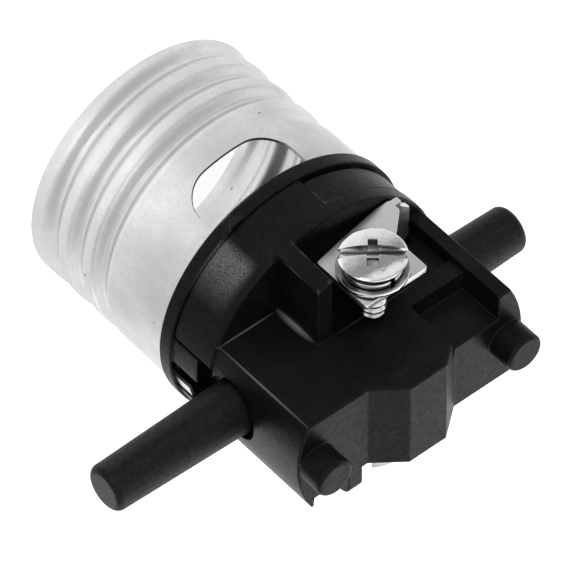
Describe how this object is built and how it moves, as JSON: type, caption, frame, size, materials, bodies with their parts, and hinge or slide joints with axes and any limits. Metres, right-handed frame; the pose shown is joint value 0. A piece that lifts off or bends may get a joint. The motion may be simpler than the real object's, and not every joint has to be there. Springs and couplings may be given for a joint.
{
  "type": "lamp socket with push switch",
  "caption": "Inside of a screw lamp holder: threaded shell on a moulded base with side screw terminals and a push-through bar switch.",
  "frame": {"origin": "centre of the screw shell's mouth rim, on the socket's axis", "axes": "+Z along the socket's axis, from the mouth up to the feet of the base; X along the push bar, with +X at the end that stands out further at rest; -Y is the side of the terminal that the shell's strap joins"},
  "size_m": [0.0502, 0.0284, 0.0422],
  "materials": {
    "black_moulding": "moulded black thermoset, satin, a little grainy",
    "shell_aluminium": "thin rolled sheet, satin",
    "contact_brass": "plain stamped strip",
    "fibre_washer": "vulcanised fibre, matt",
    "spring_steel": "spring strip",
    "plated_sheet": "bright plated stamping",
    "plated_screws": "bright plated"
  },
  "bodies": {
    "holder": {"base_moulding": "black_moulding", "cover_disc": "black_moulding", "screw_shell": "shell_aluminium", "shell_strap": "plated_sheet", "neutral_terminal": "plated_sheet", "live_terminal": "plated_sheet", "insulating_washer": "fibre_washer", "centre_contact": "contact_brass", "centre_rivet": "contact_brass", "centre_finger": "contact_brass", "live_finger": "contact_brass", "detent_spring": "spring_steel", "cover_screws": "plated_screws"},
    "bar": {"push_bar": "black_moulding", "contact_slider": "contact_brass"},
    "neutral_clamp": {"neutral_washer": "plated_screws", "neutral_spring_washer": "plated_screws"},
    "neutral_driver": {"neutral_screw": "plated_screws"},
    "live_clamp": {"live_washer": "plated_screws", "live_spring_washer": "plated_screws"},
    "live_driver": {"live_screw": "plated_screws"}
  },
  "joints": [
    {"name": "bar_slide", "type": "slide", "parent": "holder", "child": "bar", "axis": [-1, 0, 0], "range_m": [0, 0.0076]},
    {"name": "neutral_screw_lift", "type": "slide", "parent": "holder", "child": "neutral_clamp", "axis": [0, -1, 0], "range_m": [0, 0.00238]},
    {"name": "neutral_screw_turn", "type": "hinge", "parent": "neutral_clamp", "child": "neutral_driver", "pos_m": [-0.0011, -0.01245, 0.0324], "axis": [0, -1, 0], "range_deg": [0, 1080]},
    {"name": "live_screw_lift", "type": "slide", "parent": "holder", "child": "live_clamp", "axis": [0, 1, 0], "range_m": [0, 0.00238]},
    {"name": "live_screw_turn", "type": "hinge", "parent": "live_clamp", "child": "live_driver", "pos_m": [-0.0011, 0.01245, 0.0324], "axis": [0, 1, 0], "range_deg": [0, 1080]}
  ],
  "couplings": [
    {"joint": "neutral_screw_turn", "follows": "neutral_screw_lift", "rad_per_m": 7915.8},
    {"joint": "live_screw_turn", "follows": "live_screw_lift", "rad_per_m": 7915.8}
  ]
}
